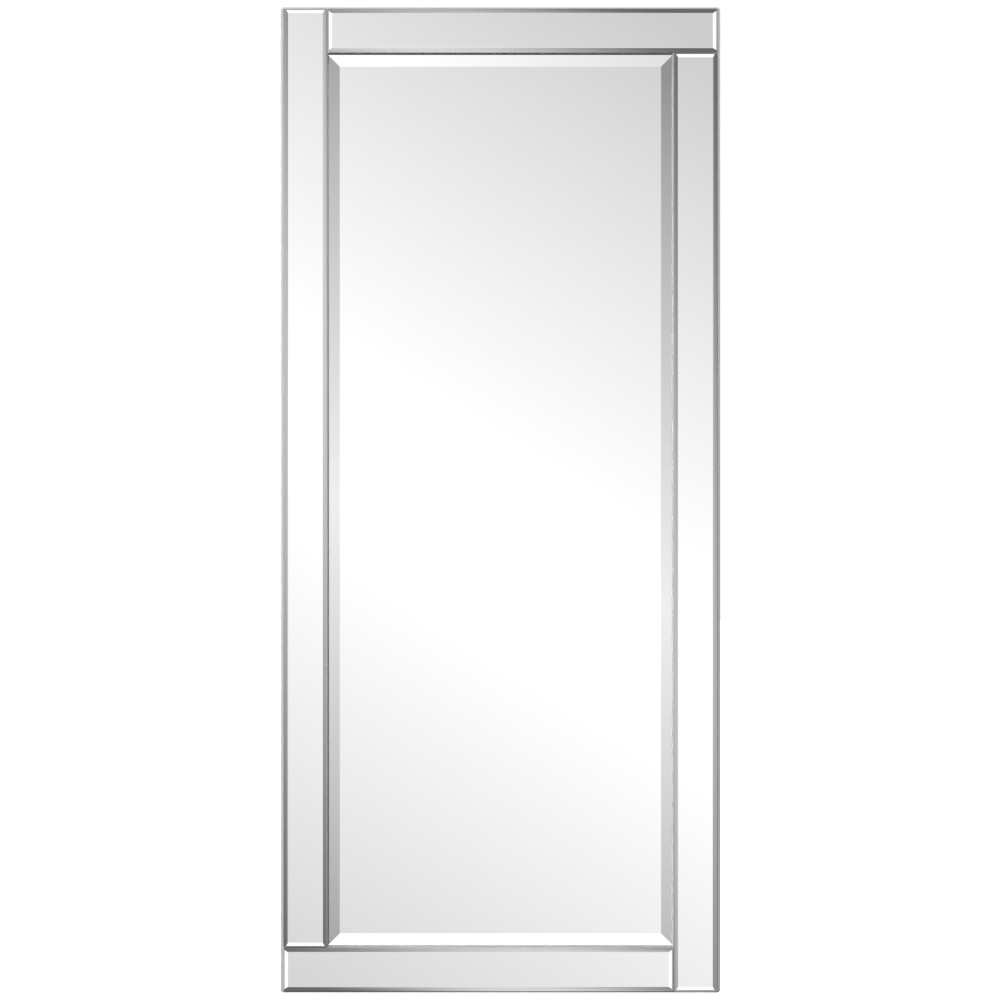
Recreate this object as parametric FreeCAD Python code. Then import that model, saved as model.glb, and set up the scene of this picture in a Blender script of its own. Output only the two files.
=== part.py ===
import FreeCAD
import Part
import math
import os

# Bevelled wall mirror.
# A mitred wooden frame is faced with four bevelled mirror strips laid in a pinwheel, and a large
# bevelled pane sits behind the frame's lip, held by a backing board. Two ring hangers on the back
# carry it and four bumpers keep it off the wall.
# Frame: +Z up, the mirror looks along -Y, and the origin is the middle of the wall plane, which
# the bumpers rest on. Millimetres.

Vector = FreeCAD.Vector

# Overall frame
overall_width = 612.0
overall_height = 1371.6
frame_thickness = 24.0
corner_radius = 4.0
edge_chamfer = 1.2

# Section of the frame from its outer edge in: a flat band on the back, the ledge that the board lies
# on, and the lip in front of the pane, which is narrower on the rails
back_band_width = 43.0
board_rebate_width = 12.0
stile_lip_width = 11.0
rail_lip_width = 9.0
lip_thickness = 5.0

# Bevelled mirror strips on the face of the frame
strip_thickness = 5.0
strip_side_reveal = 4.2
strip_end_reveal = 2.2
strip_inner_reveal = 0.8
strip_joint_gap = 0.5
strip_bevel_width = 6.35
strip_side_bevel_depth = 3.0
strip_end_bevel_depth = 1.8
strip_corner_cut = 1.2

# Mounting tape under the strips
tape_thickness = 1.0
tape_width = 14.0
tape_edge_inset = 8.0
tape_end_inset = 20.0

# Bevelled centre pane
pane_thickness = 5.0
pane_bevel_width = 25.4
pane_bevel_depth = 3.0
pane_corner_cut = 1.0
pane_edge_clearance = 2.0
pane_lip_clearance = 0.2

# Rubber blocks that carry and centre the pane in its rebate
block_length = 50.0
block_side_height = 300.0
block_bottom_offset = 120.0

# Foam strips between the pane and the board
foam_thickness = 3.0
foam_width = 25.0
foam_pitch = 180.0
foam_count = 3
foam_end_inset = 60.0

# Backing board, and the flat steel points in the frame that hold it down
board_thickness = 5.0
board_edge_clearance = 1.0
point_thickness = 0.6
point_width = 8.0
point_sunk_length = 6.0
point_bearing_length = 5.0
point_pitch_goal = 260.0
point_end_inset = 70.0

# Bent steel nails that close each mitre from the back
nail_height = 10.0
nail_leg = 6.0
nail_thickness = 0.8
nail_sink = 0.4
nail_distances = (14.0, 30.0)

# Ring hangers
hanger_drop = 300.0
strap_thickness = 1.2
strap_width = 15.0
strap_length = 44.0
strap_tail_step = 1.5
strap_tail_radius = 5.0
strap_fold_angle = 45.0
ring_wire_diameter = 3.0
ring_wire_sides = 12
ring_bar_clearance = 0.05
ring_side_clearance = 0.8
ring_bend_radius = 3.0
ring_leg_length = 2.0
hanger_screw_diameter = 4.0
hanger_screw_head_diameter = 8.0
hanger_screw_length = 18.0
hanger_screw_first = 14.0
hanger_screw_spacing = 18.0
hanger_screw_count = 2

# Wall bumpers
bumper_diameter = 19.0
bumper_thickness = 6.35
bumper_edge_chamfer = 1.0
bumper_corner_distance = 80.0

# Running room of a screw in its hole, how far a cut runs past a face, and the error in finding an edge
screw_clearance = 0.1
cut_allowance = 5.0
edge_tolerance = 0.001

# Depths along Y, from the wall plane forward
frame_back = -bumper_thickness
frame_front = frame_back - frame_thickness
strip_back = frame_front - tape_thickness
strip_front = strip_back - strip_thickness
lip_back = frame_front + lip_thickness

# Half sizes seen from the front, from the outer edge in to the sight line
half_width = overall_width / 2
half_height = overall_height / 2
board_rebate_half_width = half_width - back_band_width
board_rebate_half_height = half_height - back_band_width
pane_rebate_half_width = board_rebate_half_width - board_rebate_width
pane_rebate_half_height = board_rebate_half_height - board_rebate_width
sight_half_width = pane_rebate_half_width - stile_lip_width
sight_half_height = pane_rebate_half_height - rail_lip_width

# The pane's bevel runs under the lips and bears on the edge of the wider ones
pane_half_width = pane_rebate_half_width - pane_edge_clearance
pane_half_height = pane_rebate_half_height - pane_edge_clearance
pane_cover = max(stile_lip_width, rail_lip_width) - pane_edge_clearance
pane_edge_thickness = pane_thickness - pane_bevel_depth
pane_bevel_slope = pane_bevel_depth / pane_bevel_width
pane_height_at_lip = pane_edge_thickness + pane_bevel_slope * pane_cover
pane_back = lip_back + pane_lip_clearance + pane_height_at_lip
pane_front = pane_back - pane_thickness

# The board closes on the foam
board_front = pane_back + foam_thickness
board_back = board_front + board_thickness
board_half_width = board_rebate_half_width - board_edge_clearance
board_half_height = board_rebate_half_height - board_edge_clearance

# The hangers and bumpers stand on the middle of the stiles' back band
back_band_middle = half_width - back_band_width / 2

# The ring's bar lies in the strap's curl, which stands on the back of the frame
ring_wire_radius = ring_wire_diameter / 2
curl_inner_radius = ring_wire_radius + ring_bar_clearance
curl_outer_radius = curl_inner_radius + strap_thickness
ring_axis_depth = frame_back + curl_outer_radius
ring_axis_height = half_height - hanger_drop
ring_bar_half = strap_width / 2 + ring_side_clearance
ring_half_width = ring_bar_half + ring_bend_radius


def span_box(x_low, x_high, y_low, y_high, z_low, z_high):
    """A box between two corners."""
    corner = Vector(x_low, y_low, z_low)
    return Part.makeBox(x_high - x_low, y_high - y_low, z_high - z_low, corner)


def centred_box(half_x, half_z, y_low, y_high):
    """A box centred on the Y axis."""
    return span_box(-half_x, half_x, y_low, y_high, -half_z, half_z)


def front_prism(outline, y_low, y_high):
    """A prism whose (x, z) outline is seen from the front."""
    corners = [Vector(x, y_low, z) for x, z in outline]
    face = Part.Face(Part.makePolygon(corners + corners[:1]))
    return face.extrude(Vector(0, y_high - y_low, 0))


def depth_cylinder(x, z, radius, y_low, y_high):
    """A cylinder along Y."""
    return Part.makeCylinder(radius, y_high - y_low, Vector(x, y_low, z), Vector(0, 1, 0))


def depth_cone(x, z, radius_low, radius_high, y_low, y_high):
    """A cone along Y, with its radius at each end."""
    direction = Vector(0, 1, 0)
    return Part.makeCone(radius_low, radius_high, y_high - y_low, Vector(x, y_low, z), direction)


def save(name, *solids):
    """Writes one node; several solids share a node as separate solids."""
    shape = solids[0] if len(solids) == 1 else Part.makeCompound(list(solids))
    shape.exportStep(os.path.join("parts", name + ".step"))


# Fasteners

def countersunk_screw(x, z, head_face, diameter, head_diameter, length, grow=0.0):
    """A screw driven towards the front, its flat head flush with head_face. Grown, it is its own hole."""
    radius = diameter / 2 + grow
    head_radius = head_diameter / 2 + grow
    neck = head_face - (head_radius - radius)
    head = depth_cone(x, z, radius, head_radius, neck, head_face)
    shank = depth_cylinder(x, z, radius, head_face - length - grow, neck)
    return head.fuse(shank).removeSplitter()


def hanger_screws(side, grow=0.0):
    """The screws of one hanger, flush with the face of its folded strap."""
    strap_face = frame_back + 2 * strap_thickness
    first = ring_axis_height - hanger_screw_first
    heights = [first - i * hanger_screw_spacing for i in range(hanger_screw_count)]
    return [
        countersunk_screw(side * back_band_middle, z, strap_face, hanger_screw_diameter,
                          hanger_screw_head_diameter, hanger_screw_length, grow)
        for z in heights
    ]


def corner_nail(side, end, distance, head):
    """A bent nail astride one mitre, one leg in each of the two members, from its point to its head."""
    apex_x = side * (half_width - distance)
    apex_z = end * (half_height - distance)
    half = nail_thickness / 2
    point = frame_back - nail_sink - nail_height
    level_ends = sorted((apex_x + side * half, apex_x - side * nail_leg))
    upright_ends = sorted((apex_z + end * half, apex_z - end * nail_leg))
    level = span_box(*level_ends, point, head, apex_z - half, apex_z + half)
    upright = span_box(apex_x - half, apex_x + half, point, head, *upright_ends)
    return level.fuse(upright).removeSplitter()


def corner_nails(head=frame_back - nail_sink):
    """The nails of all four corners, driven just under the back. Past the back, they are their own slots."""
    return [
        corner_nail(side, end, distance, head)
        for side in (-1, 1) for end in (-1, 1) for distance in nail_distances
    ]


def spread(half_length, end_inset, pitch_goal):
    """Even places along an edge, none further apart than the goal."""
    reach = half_length - end_inset
    steps = max(1, math.ceil(2 * reach / pitch_goal))
    return [-reach + 2 * reach * i / steps for i in range(steps + 1)]


def backing_points():
    """Flat steel points driven into the walls of the board's rebate, lying on the back of the board."""
    half = point_width / 2
    y_low, y_high = board_back, board_back + point_thickness
    points = []
    for side in (-1, 1):
        x_ends = sorted((side * (board_half_width - point_bearing_length),
                         side * (board_rebate_half_width + point_sunk_length)))
        for z in spread(board_half_height, point_end_inset, point_pitch_goal):
            points.append(span_box(*x_ends, y_low, y_high, z - half, z + half))
        z_ends = sorted((side * (board_half_height - point_bearing_length),
                         side * (board_rebate_half_height + point_sunk_length)))
        for x in spread(board_half_width, point_end_inset, point_pitch_goal):
            points.append(span_box(x - half, x + half, y_low, y_high, *z_ends))
    return points


# Wooden frame

def frame_blank():
    """The whole frame before it is parted at the mitres: eased outer edges and stepped rebates."""
    blank = centred_box(half_width, half_height, frame_front, frame_back)
    corners = [e for e in blank.Edges if e.BoundBox.YLength > frame_thickness - edge_tolerance]
    blank = blank.makeFillet(corner_radius, corners)
    rims = [e for e in blank.Edges if e.BoundBox.YLength < edge_tolerance]
    blank = blank.makeChamfer(edge_chamfer, rims)
    past_back = frame_back + cut_allowance
    sight = centred_box(sight_half_width, sight_half_height, frame_front - cut_allowance, past_back)
    pane_rebate = centred_box(pane_rebate_half_width, pane_rebate_half_height, lip_back, past_back)
    board_rebate = centred_box(board_rebate_half_width, board_rebate_half_height, board_front, past_back)
    return blank.cut([sight, pane_rebate, board_rebate])


def mitre_prism(x_sign, z_sign):
    """What one member keeps of the blank: a trapezium from its outer edge to the sight line."""
    outer = (half_width, half_height)
    inner = (sight_half_width, sight_half_height)
    if x_sign:
        outline = [(x_sign * outer[0], -outer[1]), (x_sign * outer[0], outer[1]),
                   (x_sign * inner[0], inner[1]), (x_sign * inner[0], -inner[1])]
    else:
        outline = [(-outer[0], z_sign * outer[1]), (outer[0], z_sign * outer[1]),
                   (inner[0], z_sign * inner[1]), (-inner[0], z_sign * inner[1])]
    return front_prism(outline, frame_front - cut_allowance, frame_back + cut_allowance)


def frame_members():
    """The two stiles and two rails, slotted for the nails and points and drilled for the hangers' screws."""
    blank = frame_blank()
    holes = corner_nails(frame_back + cut_allowance) + backing_points()
    holes += hanger_screws(-1, screw_clearance) + hanger_screws(1, screw_clearance)
    sides = {"left_stile": (-1, 0), "right_stile": (1, 0), "top_rail": (0, 1), "bottom_rail": (0, -1)}
    return {name: blank.common(mitre_prism(*signs)).cut(holes) for name, signs in sides.items()}


# Bevelled glass

def bevel_wedge(edge, inward, width, depth, low, high, front, along_x):
    """What a bevel takes off one edge: a wedge that runs past both ends of the edge."""
    over = cut_allowance
    rise = depth / width
    section = [
        (edge + inward * width, front),
        (edge - inward * over, front + depth + rise * over),
        (edge - inward * over, front - over),
        (edge + inward * width, front - over),
    ]
    if along_x:
        corners = [Vector(low - over, y, across) for across, y in section]
        travel = Vector(high - low + 2 * over, 0, 0)
    else:
        corners = [Vector(across, y, low - over) for across, y in section]
        travel = Vector(0, 0, high - low + 2 * over)
    return Part.Face(Part.makePolygon(corners + corners[:1])).extrude(travel)


def bevelled_plate(x_low, x_high, z_low, z_high, front, thickness,
                   bevel_width, x_depth, z_depth, corner_cut):
    """A plate with its corners nipped off and its front bevelled on all four sides. The bevels of the
    two X edges and of the two Z edges have their own depths, and meet in a mitre."""
    c = corner_cut
    outline = [
        (x_low + c, z_low), (x_high - c, z_low), (x_high, z_low + c), (x_high, z_high - c),
        (x_high - c, z_high), (x_low + c, z_high), (x_low, z_high - c), (x_low, z_low + c),
    ]
    plate = front_prism(outline, front, front + thickness)
    wedges = [
        bevel_wedge(x_low, 1, bevel_width, x_depth, z_low, z_high, front, False),
        bevel_wedge(x_high, -1, bevel_width, x_depth, z_low, z_high, front, False),
        bevel_wedge(z_low, 1, bevel_width, z_depth, x_low, x_high, front, True),
        bevel_wedge(z_high, -1, bevel_width, z_depth, x_low, x_high, front, True),
    ]
    for wedge in wedges:
        plate = plate.cut(wedge)
    return plate


def strip_limits():
    """Each strip's x and z limits. Every strip butts one neighbour's side and is butted by the other."""
    outer_x = half_width - strip_side_reveal
    outer_z = half_height - strip_end_reveal
    inner_x = sight_half_width + strip_inner_reveal
    inner_z = sight_half_height + strip_inner_reveal
    butt_x = inner_x - strip_joint_gap
    butt_z = inner_z - strip_joint_gap
    return {
        "left": (-outer_x, -inner_x, -butt_z, outer_z),
        "top": (-butt_x, outer_x, inner_z, outer_z),
        "right": (inner_x, outer_x, -outer_z, butt_z),
        "bottom": (-outer_x, butt_x, -outer_z, -inner_z),
    }


def mirror_strip(side):
    x_low, x_high, z_low, z_high = strip_limits()[side]
    upright = side in ("left", "right")
    x_depth = strip_side_bevel_depth if upright else strip_end_bevel_depth
    z_depth = strip_end_bevel_depth if upright else strip_side_bevel_depth
    return bevelled_plate(x_low, x_high, z_low, z_high, strip_front, strip_thickness,
                          strip_bevel_width, x_depth, z_depth, strip_corner_cut)


def strip_tape(side):
    """Two runs of tape under one strip, along its length."""
    x_low, x_high, z_low, z_high = strip_limits()[side]
    runs = []
    if side in ("left", "right"):
        for x in (x_low + tape_edge_inset, x_high - tape_edge_inset - tape_width):
            runs.append(span_box(x, x + tape_width, strip_back, frame_front,
                                 z_low + tape_end_inset, z_high - tape_end_inset))
    else:
        for z in (z_low + tape_edge_inset, z_high - tape_edge_inset - tape_width):
            runs.append(span_box(x_low + tape_end_inset, x_high - tape_end_inset, strip_back, frame_front,
                                 z, z + tape_width))
    return runs


def centre_pane():
    return bevelled_plate(-pane_half_width, pane_half_width, -pane_half_height, pane_half_height,
                          pane_front, pane_thickness, pane_bevel_width, pane_bevel_depth,
                          pane_bevel_depth, pane_corner_cut)


# What holds the pane from behind

def setting_blocks():
    """Two rubber blocks under the pane, on the floor of its rebate."""
    blocks = []
    for side in (-1, 1):
        middle = side * block_bottom_offset
        blocks.append(span_box(middle - block_length / 2, middle + block_length / 2, lip_back, pane_back,
                               -pane_rebate_half_height, -pane_half_height))
    return blocks


def side_spacers():
    """Rubber spacers beside the pane, two in each stile's rebate."""
    spacers = []
    for side in (-1, 1):
        near, far = sorted((side * pane_half_width, side * pane_rebate_half_width))
        for middle in (-block_side_height, block_side_height):
            spacers.append(span_box(near, far, lip_back, pane_back,
                                    middle - block_length / 2, middle + block_length / 2))
    return spacers


def foam_strips():
    """Upright foam strips pressed between the pane and the board."""
    half = pane_half_height - foam_end_inset
    middles = [(i - (foam_count - 1) / 2) * foam_pitch for i in range(foam_count)]
    return [span_box(x - foam_width / 2, x + foam_width / 2, pane_back, board_front, -half, half)
            for x in middles]


def backing_board():
    return centred_box(board_half_width, board_half_height, board_front, board_back)


# Hangers and bumpers

def strap_section():
    """The folded strap in section, as (height, depth) about the ring's bar: a flat tail of two layers
    that parts round the bar in a curl."""
    fold = math.radians(strap_fold_angle)
    inner, outer = curl_inner_radius, curl_outer_radius
    upper = strap_thickness - inner

    def at(height, depth):
        return Vector(0, ring_axis_depth + depth, ring_axis_height + height)

    outer_leave = at(-outer * math.sin(fold), outer * math.cos(fold))
    inner_leave = at(-inner * math.sin(fold), inner * math.cos(fold))
    outer_run = (outer * math.cos(fold) - upper) / math.sin(fold)
    inner_run = (inner * math.cos(fold) + inner) / math.sin(fold)
    outer_land = -outer * math.sin(fold) - outer_run * math.cos(fold)
    inner_land = -inner * math.sin(fold) - inner_run * math.cos(fold)
    step = -strap_length + strap_tail_step
    outside = Part.Wire([
        Part.makeLine(at(-strap_length, -outer), at(0, -outer)),
        Part.Arc(at(0, -outer), at(outer, 0), outer_leave).toShape(),
        Part.makeLine(outer_leave, at(outer_land, upper)),
        Part.makeLine(at(outer_land, upper), at(step, upper)),
        Part.makeLine(at(step, upper), at(step, -inner)),
        Part.makeLine(at(step, -inner), at(-strap_length, -inner)),
        Part.makeLine(at(-strap_length, -inner), at(-strap_length, -outer)),
    ])
    eye = Part.Wire([
        Part.Arc(at(0, -inner), at(inner, 0), inner_leave).toShape(),
        Part.makeLine(inner_leave, at(inner_land, -inner)),
        Part.makeLine(at(inner_land, -inner), at(0, -inner)),
    ])
    return outside, eye


def hanger_strap(side):
    """One hanger's strap on the back of its stile, with a rounded tail and countersunk holes."""
    middle = side * back_band_middle
    half = strap_width / 2
    across = Vector(strap_width, 0, 0)
    outside, eye = (Part.Face(wire).extrude(across) for wire in strap_section())
    strap = outside.cut(eye)
    strap.translate(Vector(middle - half, 0, 0))
    tail = ring_axis_height - strap_length
    blank = span_box(middle - half, middle + half, frame_back - cut_allowance, cut_allowance,
                     tail, ring_axis_height + 2 * curl_outer_radius)
    tail_edges = [e for e in blank.Edges
                  if e.BoundBox.ZMax < tail + edge_tolerance and e.BoundBox.XLength < edge_tolerance]
    blank = blank.makeFillet(strap_tail_radius, tail_edges)
    return strap.common(blank).cut(hanger_screws(side, screw_clearance))


def ring_path(side):
    """The ring's centre line, standing up: a bar, two bends, two legs and a half round."""
    middle = side * back_band_middle
    bend, top = ring_bend_radius, ring_bend_radius + ring_leg_length
    diagonal = bend * (1 - math.sqrt(0.5))

    def at(across, height):
        return Vector(middle + across, ring_axis_depth, ring_axis_height + height)

    return Part.Wire([
        Part.makeLine(at(-ring_bar_half, 0), at(ring_bar_half, 0)),
        Part.Arc(at(ring_bar_half, 0), at(ring_half_width - diagonal, diagonal),
                 at(ring_half_width, bend)).toShape(),
        Part.makeLine(at(ring_half_width, bend), at(ring_half_width, top)),
        Part.Arc(at(ring_half_width, top), at(0, top + ring_half_width),
                 at(-ring_half_width, top)).toShape(),
        Part.makeLine(at(-ring_half_width, top), at(-ring_half_width, bend)),
        Part.Arc(at(-ring_half_width, bend), at(-ring_half_width + diagonal, diagonal),
                 at(-ring_bar_half, 0)).toShape(),
    ])


def hanger_ring(side):
    """The ring's wire, many-sided in section, swept round its centre line."""
    path = ring_path(side)
    start = path.Vertexes[0].Point
    turn = 2 * math.pi / ring_wire_sides
    rim = [Vector(0, math.cos(i * turn), math.sin(i * turn)) for i in range(ring_wire_sides + 1)]
    section = Part.makePolygon([start + spoke * ring_wire_radius for spoke in rim])
    return path.makePipeShell([section], True, False)


def wall_bumpers():
    """Round bumpers near the four corners, with a chamfered rim on the wall side."""
    bumpers = []
    for side in (-1, 1):
        for end in (-1, 1):
            bumper = depth_cylinder(side * back_band_middle, end * (half_height - bumper_corner_distance),
                                    bumper_diameter / 2, frame_back, 0)
            rim = [e for e in bumper.Edges if e.BoundBox.YMin > -edge_tolerance]
            bumpers.append(bumper.makeChamfer(bumper_edge_chamfer, rim))
    return bumpers


def main():
    os.makedirs("parts", exist_ok=True)
    for name, member in frame_members().items():
        save(name, member)
    save("corner_nails", *corner_nails())
    for side in strip_limits():
        save(side + "_mirror_strip", mirror_strip(side))
        save(side + "_strip_tape", *strip_tape(side))
    save("centre_mirror", centre_pane())
    save("setting_blocks", *setting_blocks())
    save("side_spacers", *side_spacers())
    save("foam_strips", *foam_strips())
    save("backing_board", backing_board())
    save("backing_points", *backing_points())
    for name, side in (("left", -1), ("right", 1)):
        save(name + "_hanger_strap", hanger_strap(side))
        save(name + "_hanger_ring", hanger_ring(side))
    save("hanger_screws", *hanger_screws(-1), *hanger_screws(1))
    save("wall_bumpers", *wall_bumpers())


main()
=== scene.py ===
"""Dresses a bevelled wall mirror and sets it in a soft white studio, as a small Blender add-on."""

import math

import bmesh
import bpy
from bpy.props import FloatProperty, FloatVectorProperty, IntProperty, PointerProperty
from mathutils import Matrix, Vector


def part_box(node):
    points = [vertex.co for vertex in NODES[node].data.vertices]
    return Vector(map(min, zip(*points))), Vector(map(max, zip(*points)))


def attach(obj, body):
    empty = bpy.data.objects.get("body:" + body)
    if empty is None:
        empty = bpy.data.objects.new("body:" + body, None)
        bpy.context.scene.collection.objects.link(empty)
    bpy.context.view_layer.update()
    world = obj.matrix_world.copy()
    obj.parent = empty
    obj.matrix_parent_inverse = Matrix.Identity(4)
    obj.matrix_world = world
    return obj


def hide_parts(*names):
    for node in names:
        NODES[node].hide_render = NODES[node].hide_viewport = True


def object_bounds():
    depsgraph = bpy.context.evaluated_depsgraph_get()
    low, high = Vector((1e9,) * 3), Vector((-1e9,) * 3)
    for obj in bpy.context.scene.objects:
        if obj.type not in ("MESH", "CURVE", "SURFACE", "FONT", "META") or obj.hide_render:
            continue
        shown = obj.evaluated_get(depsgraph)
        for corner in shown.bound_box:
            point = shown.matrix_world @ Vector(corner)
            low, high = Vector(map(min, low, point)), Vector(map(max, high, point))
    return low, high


bl_info = {
    "name": "Bevelled wall mirror",
    "version": (1, 0, 0),
    "blender": (4, 5, 0),
    "location": "View3D > Sidebar > Mirror",
    "description": "Finishes a bevelled wall mirror and sets it in a soft white studio",
    "category": "Object",
}

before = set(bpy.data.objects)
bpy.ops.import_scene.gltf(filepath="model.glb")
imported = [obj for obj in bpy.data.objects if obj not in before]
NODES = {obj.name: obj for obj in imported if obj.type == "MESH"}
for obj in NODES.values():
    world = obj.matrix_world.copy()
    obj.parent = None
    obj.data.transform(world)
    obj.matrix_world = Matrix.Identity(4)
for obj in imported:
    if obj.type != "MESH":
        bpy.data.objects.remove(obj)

CAD_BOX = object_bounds()
MM = 0.001

# The photograph's frame, in pixels, and where the mirror's outline lies in it
IMAGE_PIXELS = 1000
OUTLINE_PIXELS_HIGH = 985.4
OUTLINE_CENTRE_PIXEL = (500.4, 500.0)

STRIPS = ["left_mirror_strip", "top_mirror_strip", "right_mirror_strip", "bottom_mirror_strip"]
PANE = "centre_mirror"
STILES = ["left_stile", "right_stile"]
RAILS = ["top_rail", "bottom_rail"]
TAPES = ["left_strip_tape", "top_strip_tape", "right_strip_tape", "bottom_strip_tape"]
STRAPS = ["left_hanger_strap", "right_hanger_strap"]
RINGS = ["left_hanger_ring", "right_hanger_ring"]

# Places that the finishes and the lamps are worked out from
MIDDLE = (0, 0, 0)
HALF_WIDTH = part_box("right_stile")[1].x
HALF_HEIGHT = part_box("top_rail")[1].z
FRAME_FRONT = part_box("top_rail")[0].y
LIP_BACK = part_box("setting_blocks")[0].y
LEFT_SIGHT_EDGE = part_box("left_stile")[1].x
FACE_WIDTH = LEFT_SIGHT_EDGE + HALF_WIDTH

# Corners of a CAD mesh that lie nearer than this are one point
SAME_POINT = 0.002 * MM

# A bounce count over this has at least one bounce in it
ANY_BOUNCE = 0.5


def linear(hex_colour):
    """An sRGB hex colour as linear red, green, blue and alpha."""
    channels = [int(hex_colour[i:i + 2], 16) / 255 for i in (0, 2, 4)]
    light = [c / 12.92 if c <= 0.04045 else ((c + 0.055) / 1.055) ** 2.4 for c in channels]
    return (*light, 1.0)


def add(tree, kind, inputs=None, **settings):
    """Adds a node, applies its settings, and fills its inputs with values or with links."""
    node = tree.nodes.new(kind)
    for name, value in settings.items():
        setattr(node, name, value)
    for socket, value in (inputs or {}).items():
        if isinstance(value, bpy.types.NodeSocket):
            tree.links.new(value, node.inputs[socket])
        else:
            node.inputs[socket].default_value = value
    return node


def new_material(name):
    """An empty node material and its tree."""
    material = bpy.data.materials.new(name)
    material.use_nodes = True
    material.node_tree.nodes.clear()
    return material, material.node_tree


def finish_surface(tree, **sockets):
    """Ends a material in one Principled shader; words in a socket's name are joined by underscores."""
    inputs = {name.replace("_", " "): value for name, value in sockets.items()}
    shader = add(tree, "ShaderNodeBsdfPrincipled", inputs)
    add(tree, "ShaderNodeOutputMaterial", {"Surface": shader.outputs["BSDF"]})


def dress(names, material):
    """Gives CAD nodes a material in place of the one that they were packed with."""
    for name in names:
        NODES[name].data.materials.clear()
        NODES[name].data.materials.append(material)


def ease_edges(names, width, segments, angle):
    """Rounds edges of CAD nodes that turn by more than an angle in degrees. It does so by modifiers, which
    leave the meshes as they are."""
    for name in names:
        weld = NODES[name].modifiers.new("Joined facets", "WELD")
        weld.merge_threshold = SAME_POINT
        bevel = NODES[name].modifiers.new("Eased edges", "BEVEL")
        bevel.width = width
        bevel.segments = segments
        bevel.limit_method = "ANGLE"
        bevel.angle_limit = math.radians(angle)
        bevel.use_clamp_overlap = True


# Materials

def silvered_float_glass(glass):
    """Float glass silvered behind, with ground and polished bevels. The eye gets a neutral mirror, a
    grey-green frosted line where the edge was only seamed, and hardly any haze from polishing."""
    haze_width = 160 * MM
    # Coarser than real grit, so that it shows
    grit_width = 0.5 * MM
    seamed_roughness = 0.7
    seamed_relief = 0.08

    material, tree = new_material("silvered float glass")
    place = add(tree, "ShaderNodeTexCoord")
    # What looks forward is silvered, and what looks aside is a seamed edge
    facing = add(tree, "ShaderNodeSeparateXYZ", {"Vector": place.outputs["Normal"]})
    silvered = add(tree, "ShaderNodeMapRange", {
        "Value": facing.outputs["Y"], "From Min": -0.4, "From Max": -0.7}).outputs[0]
    haze = add(tree, "ShaderNodeTexNoise", {
        "Vector": place.outputs["Object"], "Scale": 1 / haze_width, "Detail": 3.0, "Roughness": 0.6})
    polish = add(tree, "ShaderNodeMapRange", {
        "Value": haze.outputs["Fac"], "From Min": 0.35, "From Max": 0.7, "To Min": 0.004, "To Max": 0.014})
    roughness = add(tree, "ShaderNodeMix", {
        "Factor": silvered, "A": seamed_roughness, "B": polish.outputs["Result"]})
    colour = add(tree, "ShaderNodeMix", {
        "Factor": silvered, "A": (*glass.edge_colour, 1.0), "B": (*glass.silver_colour, 1.0)},
        data_type="RGBA")
    grit = add(tree, "ShaderNodeTexNoise", {
        "Vector": place.outputs["Object"], "Scale": 1 / grit_width, "Detail": 2.0})
    ground = add(tree, "ShaderNodeMapRange", {"Value": silvered, "To Min": seamed_relief, "To Max": 0.0})
    bump = add(tree, "ShaderNodeBump", {
        "Height": grit.outputs["Fac"], "Strength": ground.outputs["Result"], "Distance": 0.05 * MM})
    finish_surface(
        tree, Base_Color=colour.outputs["Result"], Metallic=silvered, Roughness=roughness.outputs["Result"],
        Specular_IOR_Level=0.0, Normal=bump.outputs["Normal"])
    return material


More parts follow.
